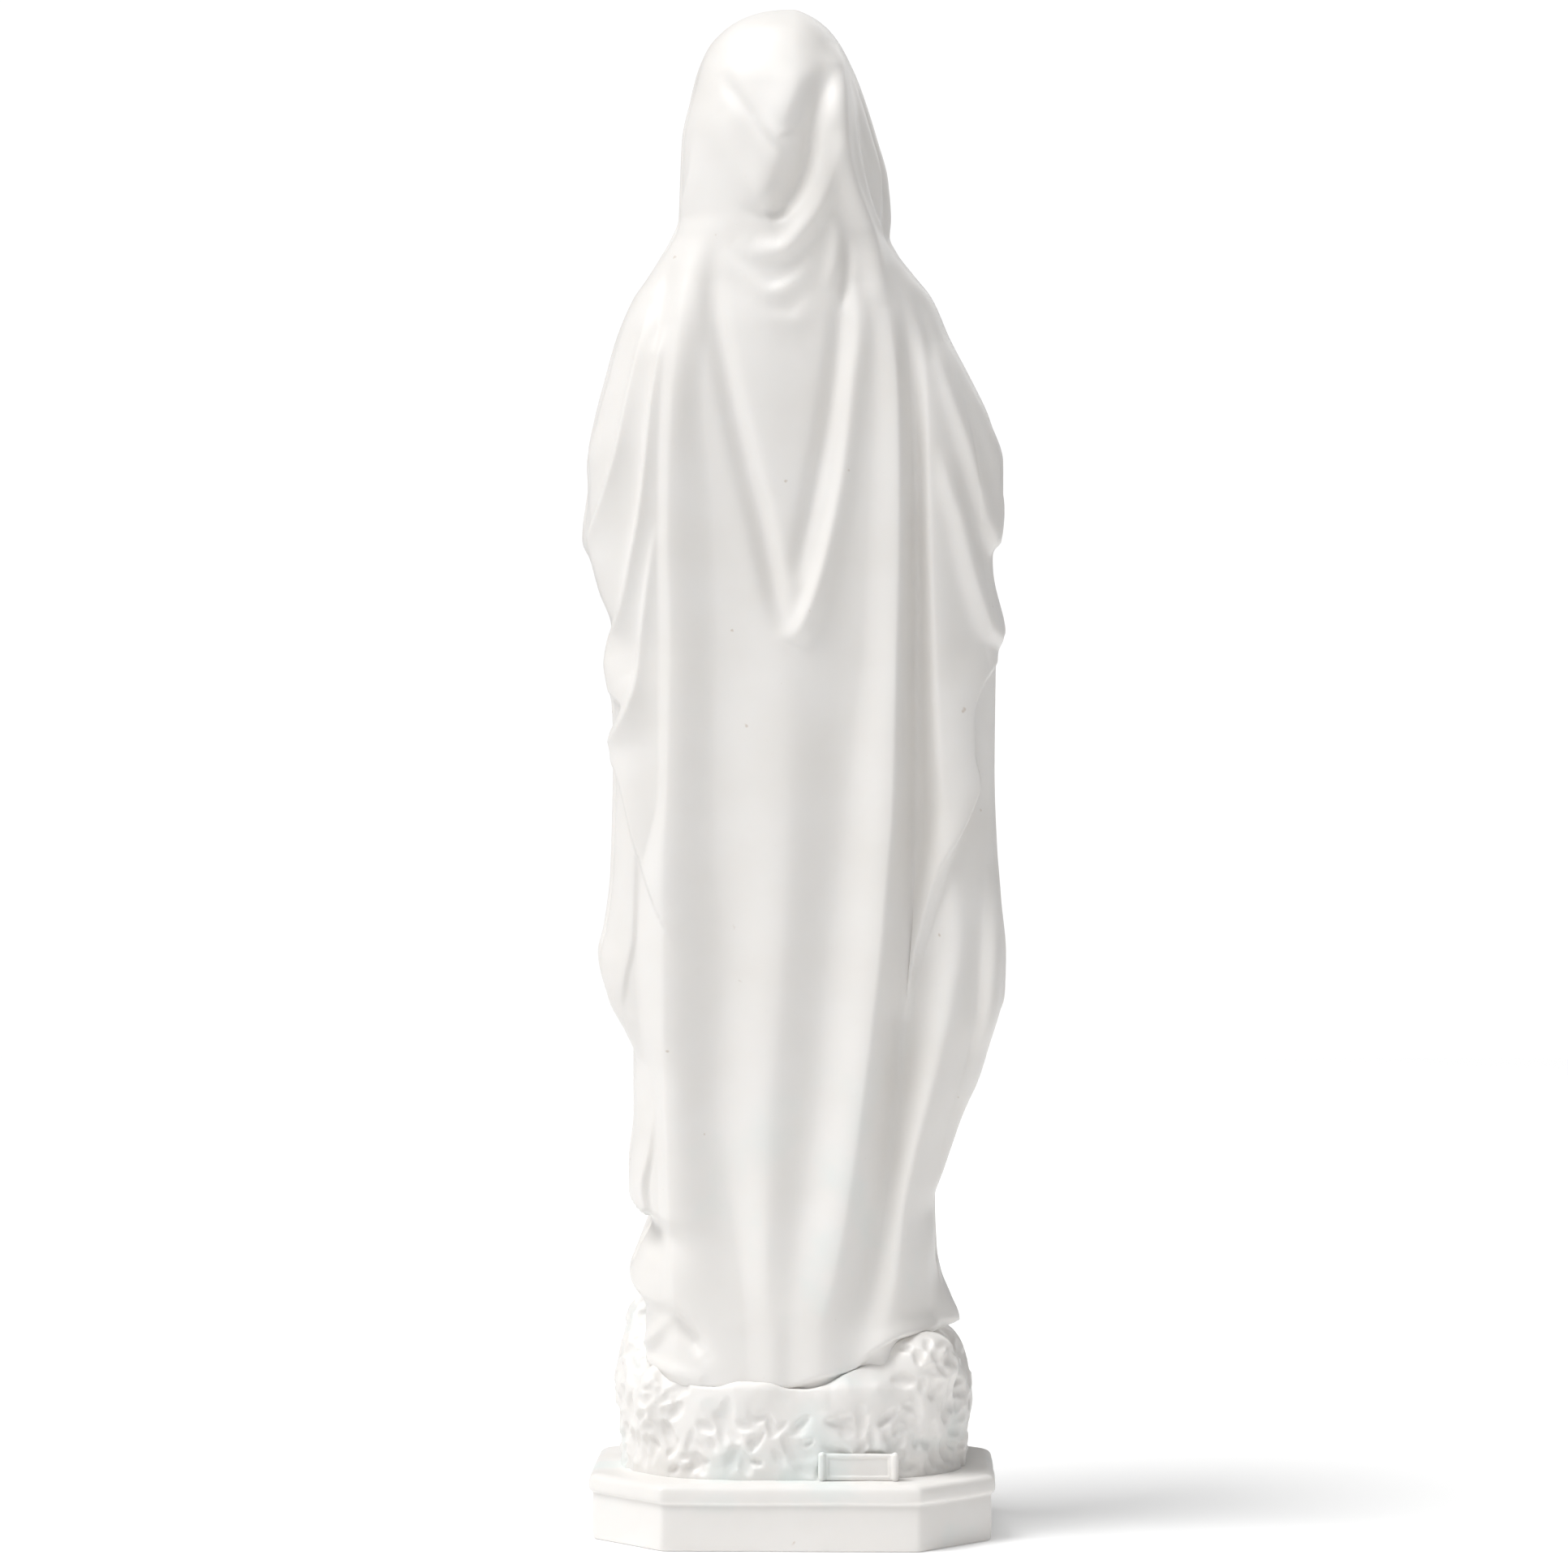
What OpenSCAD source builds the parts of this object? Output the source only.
// A standing draped devotional figure in cast marble resin, on a rock mound and an octagonal plinth.
// Millimetres, +Z up. The figure faces -Y, so its own right-hand side is at -X.
// The origin is the centre of the plinth's footprint, on the surface that it stands on.

/* [Plinth] */
// Width of the plinth over its moulded lip
plinth_w = 158; // [152:1:166]
// Depth of the plinth over its moulded lip
plinth_d = 126; // [120:1:132]
// Height of the plinth
plinth_h = 26; // [24:1:32]
// Length cut from each corner of the plinth, along each side
plinth_chamfer = 29; // [20:1:34]
// How far the moulded lip stands out over the plain face
lip_out = 1.6; // [0.5:0.1:3]

/* [Rock] */
// Height of the rock's top above the surface that the plinth stands on
rock_top = 66; // [60:1:70]

/* [Mantle] */
// Thickness of the cast mantle over the body
mantle_t = 9; // [6:0.5:12]
// Thickness of the cast hood around the head
hood_t = 6.5; // [5:0.5:8]
// Depth of the upright folds of the mantle
fold_depth = 1.6; // [0:0.1:3]
// Number of upright folds round the mantle
fold_count = 17; // [9:1:24]

/* [Head] */
// Width of the head with its hair
head_w = 55; // [50:1:58]
// Height of the head
head_h = 74; // [68:1:76]
// Angle that the head turns towards the figure's own right
head_turn = 14; // [0:1:25]

/* [Armature] */
// Diameter of the steel armature rod
rod_d = 10; // [8:1:12]
// Height of the armature rod's upper end
rod_top = 440; // [400:5:450]
// Diameter of the pins in the neck and the wrists
pin_d = 5; // [4:0.5:6]
// Play between a pin and its hole, on the radius
pin_play = 0.1; // [0.05:0.05:0.2]

/* [Hidden] */
marble = [0.93, 0.93, 0.91];
steel = [0.62, 0.63, 0.65];
foam = [0.86, 0.82, 0.66];
grey_board = [0.45, 0.45, 0.46];

body_gap = 0.2;      // glue line between two castings
past = 1;            // how far a cut runs past the face that it opens
beyond = 100;        // a length that reaches past the whole object
crown_z = 600;       // top of the hood
cap_z = 578;         // the hood is closed all round above this height
neck_z = 496;        // the folds end here, at the top of the shoulders
shoulder_z = 487;    // top of the gown
arc_steps = 40;      // pieces in the mantle's outline
ring_steps = 64;     // pieces in a closed outline
fold_start = 300;    // the folds fade out from this height to the shoulders

// Half widths and depths of the draped figure: [height, towards +X, towards -X, back, front]
figure = [
    [66, 60, 58, 49, 46], [92, 62, 62, 48, 44], [124, 61, 57, 46, 42], [155, 65, 62, 45, 41],
    [187, 65, 74, 44, 40], [218, 75, 84, 43, 39], [250, 76, 83, 42, 38], [297, 73, 80, 41, 37],
    [345, 74, 81, 41, 36], [376, 76, 82, 41, 36], [408, 82, 84, 41, 36], [424, 85, 85, 41, 36],
    [440, 79, 79, 40, 35], [455, 75, 71, 39, 34], [471, 70, 63, 38, 33], [487, 65, 55, 37, 32],
    [502, 54, 43, 35, 32], [518, 47, 39, 34, 32], [534, 45, 38, 35, 31], [550, 44, 34, 36, 29],
    [566, 41, 29, 34, 26], [578, 37, 23, 30, 22], [590, 28, 13, 22, 15], [597, 17, 6, 13, 8],
    [600, 8, 1, 6, 3]
];
// Heights of the rings that close the hood over the head
cap_rings = [cap_z - 2, 584, 590, 595, 598, crown_z];
// Angle from each side to the mantle's front edge: [height, degrees]
front_edge = [[66, 36], [220, 38], [340, 44], [400, 50], [487, 50], [505, 52], [560, 50], [580, 44]];

// Plinth's outer face: [height, how far it stands in from the lip]
plinth_profile = [
    [0, lip_out + 0.4], [1, lip_out], [plinth_h - 7.6, lip_out], [plinth_h - 7, 0.6],
    [plinth_h - 5, 0], [plinth_h - 3, 0], [plinth_h - 0.8, 1], [plinth_h, 2.6]
];
chamfer_rate = 0.59; // how much the cut corner shortens as the outline moves in
rim_w = 18;          // rim of the plinth around the closing board
board_chamfer = 14;
board_t = 3;         // closing board under the plinth
board_play = 0.5;
recess_h = 3.5;      // the board sits in this recess
pocket_h = 16;       // pocket for the rod's nut and washer, over the board
pocket_r = 20;
screw_x = 46;
screw_y = 30;
screw_d = 4;
screw_head_d = 8;
screw_head_h = 2;
screw_l = 14;
nut_w = 19;          // across the nut's corners
nut_h = 8;
washer_d = 34;
washer_h = 2.5;

// Rock: [height, half width, half depth]
rock_sizes = [[plinth_h, 68, 50], [36, 69, 53], [46, 70, 54], [58, 68, 55], [rock_top, 63, 55]];
// Boulders on its shoulders: [lower end, upper end, lower radius, upper radius]
boulders = [
    [[60, -6, 40], [62, -10, 84], 13, 9],
    [[56, 22, 40], [58, 16, 70], 14, 9],
    [[-56, -14, 40], [-58, -16, 68], 13, 9]
];
tablet = [31, 3, 10.5];       // maker's tablet, left blank
tablet_roll_d = 3.2;          // its rolled ends
tablet_at = [-26, 53.5, plinth_h];

core_wall = 13;               // least wall of the gown over the light core
core_bottom = 110;
core_top = 425;
head_at = [4, -3, 544];       // centre of the head
neck_at = [2, 2];
neck_r = 13;
neck_foot_r = 19;
neck_foot_h = 12;
neck_h = 44;
neck_pin_bottom = 471;
neck_pin_h = 50;

elbow = [46, -26, 418];       // the forearm lies between these, with X turned for each side
cuff = [25, -43, 430];
sleeve_back = [42, -32, 410]; // the cloth that hangs from the forearm lies between these
sleeve_mouth = [22, -42, 428];
sleeve_tip = [30, -36, 352];
sleeve_hem = [42, -30, 366];
wrist = [9, -49, 440];
palm = [5.2, -53, 457];
fingers = [3.4, -57, 474];
pin_start = [24, -43.5, 430]; // end of the wrist pin inside the sleeve
belt_z = 366;                 // middle of the sash round the waist
belt_h = 13;
belt_t = 2.6;
belt_angle = 48;              // the sash starts this far in front of each side
belt_steps = 24;
tail_t = 1.8;
tail_w = [8, 15];             // width of a sash end at its top and at its bottom
tail_bottom = 205;
tail_step = 22;               // one end hangs this much lower than the other
tail_steps = 8;
foot_at = [15, -43, 71];
foot_size = [17, 28, 13];
rose_at = [15, -50, 79];
rose_size = [13, 12, 9];

// ---- outlines ----

function width_at(z, column) = lookup(z, [for (row = figure) [row[0], row[column]]]);
function signed_power(v, e) = sign(v) * pow(abs(v), e);

// A point of the draped figure's outline at height z, in the direction a, moved in by inset
function outline(a, z, inset = 0, squareness = 2.4) =
    let (c = cos(a), s = sin(a), e = 2 / squareness,
         rx = width_at(z, c > 0 ? 1 : 2) - inset, ry = width_at(z, s > 0 ? 3 : 4) - inset)
    [rx * signed_power(c, e), ry * signed_power(s, e), z];

// How far a fold stands in from the outline
function fold(a, z) =
    fold_depth * (1 + sin(fold_count * a + 20 * sin(z)))
    * min(1, max(0, (neck_z - z) / (neck_z - fold_start)));

function closed_ring(z, inset) =
    [for (i = [0:ring_steps - 1]) outline(360 * i / ring_steps, z, inset)];

function edge_angle(z) = lookup(z, front_edge);
function arc_angle(i, z) = -edge_angle(z) + (180 + 2 * edge_angle(z)) * i / arc_steps;
function wall(z) = z > neck_z ? hood_t : mantle_t;

// The mantle is open at the front: its ring runs out along one side of the cloth and back along the other
function cloth_ring(z) = concat(
    [for (i = [0:arc_steps]) outline(arc_angle(i, z), z, fold(arc_angle(i, z), z))],
    [for (i = [arc_steps:-1:0]) outline(arc_angle(i, z), z, wall(z))]);

// The mantle's ring grown a little on every side
function edge_play(i) = i == 0 ? -0.5 : i == arc_steps ? 0.5 : 0;
function grown_cloth_ring(z) = concat(
    [for (i = [0:arc_steps]) outline(arc_angle(i, z) + edge_play(i), z, -body_gap)],
    [for (i = [arc_steps:-1:0]) outline(arc_angle(i, z) + edge_play(i), z, wall(z) + body_gap)]);

// An octagon: a rectangle with cut corners, from its half width, half depth and cut
function octagon(x, y, c) =
    [[x, y - c], [x - c, y], [c - x, y], [-x, y - c], [-x, c - y], [c - x, -y], [x - c, -y], [x, c - y]];

function plinth_ring(z, inset) =
    [for (p = octagon(plinth_w / 2 - inset, plinth_d / 2 - inset, plinth_chamfer - inset * chamfer_rate))
        [p[0], p[1], z]];

// Outline of the rock: a lobed and broken oval
function rock_radius(a, z) =
    1 + 0.035 * sin(3 * a + 40) + 0.03 * sin(5 * a + z * 4) + 0.018 * sin(11 * a - z * 9);
function rock_ring(z, rx, ry) =
    [for (i = [0:35]) let (a = 10 * i, k = rock_radius(a, z)) [rx * k * cos(a), ry * k * sin(a) - 1, z]];

// Depth of the gown's front at x, moved in by inset
function front_y(x, z, inset) =
    let (p = 2.4, rx = width_at(z, x > 0 ? 1 : 2) - inset, ry = width_at(z, 4) - inset)
    -ry * pow(1 - pow(abs(x) / rx, p), 1 / p);

// ---- building blocks ----

// A closed solid through rings that all have the same even number of points
module skin(rings) {
    n = len(rings[0]);
    top = (len(rings) - 1) * n;
    half = n / 2;
    bottom_faces = [for (i = [0:half - 2]) [i, i + 1, n - 2 - i, n - 1 - i]];
    top_faces = [for (i = [0:half - 2]) [top + n - 1 - i, top + n - 2 - i, top + i + 1, top + i]];
    side_faces = [for (j = [0:len(rings) - 2], i = [0:n - 1])
        let (k = j * n, q = (i + 1) % n)
        each [[k + i, k + n + i, k + q], [k + q, k + n + i, k + n + q]]];
    polyhedron(
        points = [for (ring = rings) each ring],
        faces = concat(bottom_faces, top_faces, side_faces),
        convexity = 8);
}

// Draws its children as one plain mesh
module sculpted() resize([0, 0, 0]) children();

module ball(at, size) translate(at) resize(size) sphere(r = 1, $fn = 24);

module limb(from, to, r1, r2) hull() {
    translate(from) sphere(r = r1, $fn = 16);
    translate(to) sphere(r = r2, $fn = 16);
}

// A straight pin from one point to another
module pin(from, to, d) {
    v = to - from;
    h = norm(v);
    translate(from)
        rotate([0, acos(v[2] / h), atan2(v[1], v[0])])
            cylinder(d = d, h = h, $fn = 32);
}

// A round hole or rod standing on the height z, on the figure's axis unless at says otherwise
module post(d, z, h, at = [0, 0]) translate([at[0], at[1], z]) cylinder(d = d, h = h, $fn = 48);

// Everything below the height z
module ground(z) translate([-beyond, -beyond, z - beyond]) cube([2 * beyond, 2 * beyond, beyond]);

// Draws its children for the side at +X with side 1, or mirrored to -X with side -1
module on_side(side) {
    if (side > 0) children();
    else mirror([1, 0, 0]) children();
}

// The figure's body up to its shoulders, moved in by inset
module torso(inset) skin([for (row = figure) if (row[0] <= shoulder_z) closed_ring(row[0], inset)]);

// The gown, grown outwards for what lies on its front to keep clear of
module gown_body(grow) torso(mantle_t + body_gap - grow);

// ---- base ----

module plinth() color(marble) difference() {
    skin([for (p = plinth_profile) plinth_ring(p[0], p[1])]);
    translate([0, 0, -past]) linear_extrude(recess_h + past) board_outline(board_play);
    post(2 * pocket_r, -past, pocket_h + past);
    post(rod_d + 1, -past, plinth_h + 2 * past);
    at_screws() translate([0, 0, past]) cylinder(d = screw_d, h = screw_l, $fn = 24);
}

module board_outline(grow)
    polygon(octagon(plinth_w / 2 - rim_w + grow, plinth_d / 2 - rim_w + grow, board_chamfer));

module at_screws()
    for (x = [-screw_x, screw_x], y = [-screw_y, screw_y])
        translate([x, y, 0]) children();

module closing_board() color(grey_board) difference() {
    translate([0, 0, recess_h - board_t]) linear_extrude(board_t) board_outline(0);
    at_screws() {
        translate([0, 0, -past]) cylinder(d = screw_d + 0.4, h = recess_h + 2 * past, $fn = 24);
        translate([0, 0, recess_h - board_t - 0.01])
            cylinder(d1 = screw_head_d + 0.6, d2 = screw_d + 0.4, h = screw_head_h + 0.1, $fn = 24);
    }
}

module board_screws() color(steel) at_screws() translate([0, 0, recess_h - board_t]) {
    cylinder(d1 = screw_head_d, d2 = screw_d - 0.1, h = screw_head_h, $fn = 24);
    translate([0, 0, screw_head_h]) cylinder(d = screw_d - 0.1, h = screw_l - screw_head_h, $fn = 24);
}

module rod_washer() color(steel) difference() {
    post(washer_d, pocket_h - washer_h, washer_h);
    post(rod_d + 0.6, 0, pocket_h + past);
}

module rod_nut() color(steel) difference() {
    translate([0, 0, pocket_h - washer_h - nut_h]) cylinder(d = nut_w, h = nut_h, $fn = 6);
    post(rod_d + 0.1, 0, pocket_h);
}

module armature_rod() color(steel) post(rod_d, recess_h + 0.5, rod_top - recess_h - 0.5);

module rock_mound() color(marble) difference() {
    sculpted() difference() {
        union() {
            skin([for (s = rock_sizes) rock_ring(s[0], s[1], s[2])]);
            for (b = boulders) limb(b[0], b[1], b[2], b[3]);
        }
        intersection() {
            torso(-body_gap);
            translate([-beyond, -beyond, rock_top]) cube(2 * beyond);
        }
        ground(plinth_h);
        translate(tablet_at - [tablet[0] / 2 + body_gap, tablet[1] - body_gap, past])
            cube([tablet[0] + 2 * body_gap, beyond, tablet[2] + past + body_gap]);
    }
    post(rod_d + 1, plinth_h - past, rock_top);
}

module maker_tablet() color(marble) translate(tablet_at - [tablet[0] / 2, tablet[1], 0]) {
    cube(tablet);
    for (x = [tablet_roll_d / 2, tablet[0] - tablet_roll_d / 2])
        translate([x, tablet[1] - 0.4, 0]) cylinder(d = tablet_roll_d, h = tablet[2], $fn = 24);
}

// ---- figure ----

module gown() color(marble) difference() {
    gown_body(0);
    core(body_gap);
    post(rod_d + 2 * pin_play, rock_top - past, rod_top - rock_top + 1.5);
    post(pin_d + 2 * pin_play, neck_pin_bottom - past, neck_pin_h, neck_at);
}

module core(grow) skin([for (z = [core_bottom - grow, 187, 250, 345, core_top + grow])
    closed_ring(z, mantle_t + core_wall - grow)]);

module foam_core() color(foam) difference() {
    core(0);
    post(rod_d + 2 * pin_play, core_bottom - past, core_top);
}

module mantle() color(marble) sculpted() difference() {
    union() {
        skin([for (row = figure) if (row[0] <= cap_z) cloth_ring(row[0])]);
        skin([for (z = cap_rings) closed_ring(z, 0)]);
    }
    ball(head_at, [head_w + 3, head_w + 11, head_h + 3]);
}

module head() color(marble) difference() {
    union() {
        translate(head_at) rotate(-head_turn) resize([head_w, head_w + 8, head_h]) sphere(r = 1, $fn = 28);
        translate([neck_at[0], neck_at[1], shoulder_z + body_gap])
            cylinder(r1 = neck_foot_r, r2 = neck_r, h = neck_foot_h, $fn = 48);
        post(2 * neck_r, shoulder_z + body_gap, neck_h, neck_at);
    }
    post(pin_d + 2 * pin_play, shoulder_z - past, neck_pin_h - 15, neck_at);
}

module neck_pin() color(steel) post(pin_d, neck_pin_bottom, neck_pin_h, neck_at);

module wrist_hole(d) pin(pin_start, wrist, d);

module hand_shape(grow) {
    more = 2 * [grow, grow, grow];
    hull() {
        ball(wrist, [12, 13, 14] + more);
        ball(palm, [10, 17, 26] + more);
        ball(fingers, [6.4, 9, 26] + more);
    }
}

// A wide sleeve: the forearm, and the cloth that hangs from it
module sleeve_shape() {
    limb(elbow, cuff, 14, 9);
    hull() {
        translate(sleeve_back) sphere(r = 8, $fn = 16);
        translate(sleeve_mouth) sphere(r = 6, $fn = 16);
        translate(sleeve_tip) sphere(r = 4, $fn = 16);
        translate(sleeve_hem) sphere(r = 6, $fn = 16);
    }
}

module sleeve(side) color(marble) difference() {
    sculpted() difference() {
        on_side(side) sleeve_shape();
        skin([for (row = figure) if (row[0] > fold_start && row[0] < cap_z) grown_cloth_ring(row[0])]);
        gown_body(belt_t + 0.6);
        on_side(side) hand_shape(body_gap);
    }
    on_side(side) wrist_hole(pin_d + 2 * pin_play);
}

module hand(side) color(marble) difference() {
    sculpted() on_side(side) hand_shape(0);
    on_side(side) wrist_hole(pin_d + 2 * pin_play);
}

module wrist_pins() color(steel)
    for (side = [-1, 1])
        on_side(side) wrist_hole(pin_d);

// ---- sash ----

// A band over the front of the gown
function belt_ring(z) =
    let (first = 180 + belt_angle, step = (180 - 2 * belt_angle) / belt_steps)
    concat(
        [for (i = [0:belt_steps]) outline(first + i * step, z, mantle_t + body_gap - belt_t)],
        [for (i = [belt_steps:-1:0]) outline(first + i * step, z, mantle_t)]);

module sash_belt() color(marble) skin([for (t = [-1, -0.8, 0.8, 1]) belt_ring(belt_z + t * belt_h / 2)]);

function tail_ring(z, x, w) = concat(
    [for (t = [-0.5, 0, 0.5]) [x + t * w, front_y(x + t * w, z, mantle_t + body_gap - tail_t), z]],
    [for (t = [0.5, 0, -0.5]) [x + t * w, front_y(x + t * w, z, mantle_t), z]]);

// One hanging end, between the height bottom and the band
module sash_tail(x_top, x_bottom, bottom) {
    top = belt_z - belt_h / 2 - body_gap;
    skin([for (i = [0:tail_steps])
        let (t = i / tail_steps)
        tail_ring(bottom + (top - bottom) * t,
            x_bottom + (x_top - x_bottom) * t,
            tail_w[1] + (tail_w[0] - tail_w[1]) * t)]);
}

module sash_tails() color(marble) {
    sash_tail(9, 14, tail_bottom);
    sash_tail(-1, -6, tail_bottom + tail_step);
}

// ---- feet ----

module foot_shape(grow) ball(foot_at, foot_size + 2 * [grow, grow, grow]);

module foot(side) color(marble) sculpted() difference() {
    on_side(side) foot_shape(0);
    gown_body(body_gap);
    ground(rock_top);
}

module roses() color(marble) sculpted() for (side = [-1, 1]) on_side(side) difference() {
    ball(rose_at, rose_size);
    foot_shape(body_gap);
    gown_body(body_gap);
}

plinth();
closing_board();
board_screws();
rod_washer();
rod_nut();
armature_rod();
rock_mound();
maker_tablet();
gown();
foam_core();
mantle();
head();
neck_pin();
sleeve(-1);  // right_sleeve
sleeve(1);  // left_sleeve
hand(-1);  // right_hand
hand(1);  // left_hand
wrist_pins();
sash_belt();
sash_tails();
foot(-1);  // right_foot
foot(1);  // left_foot
roses();
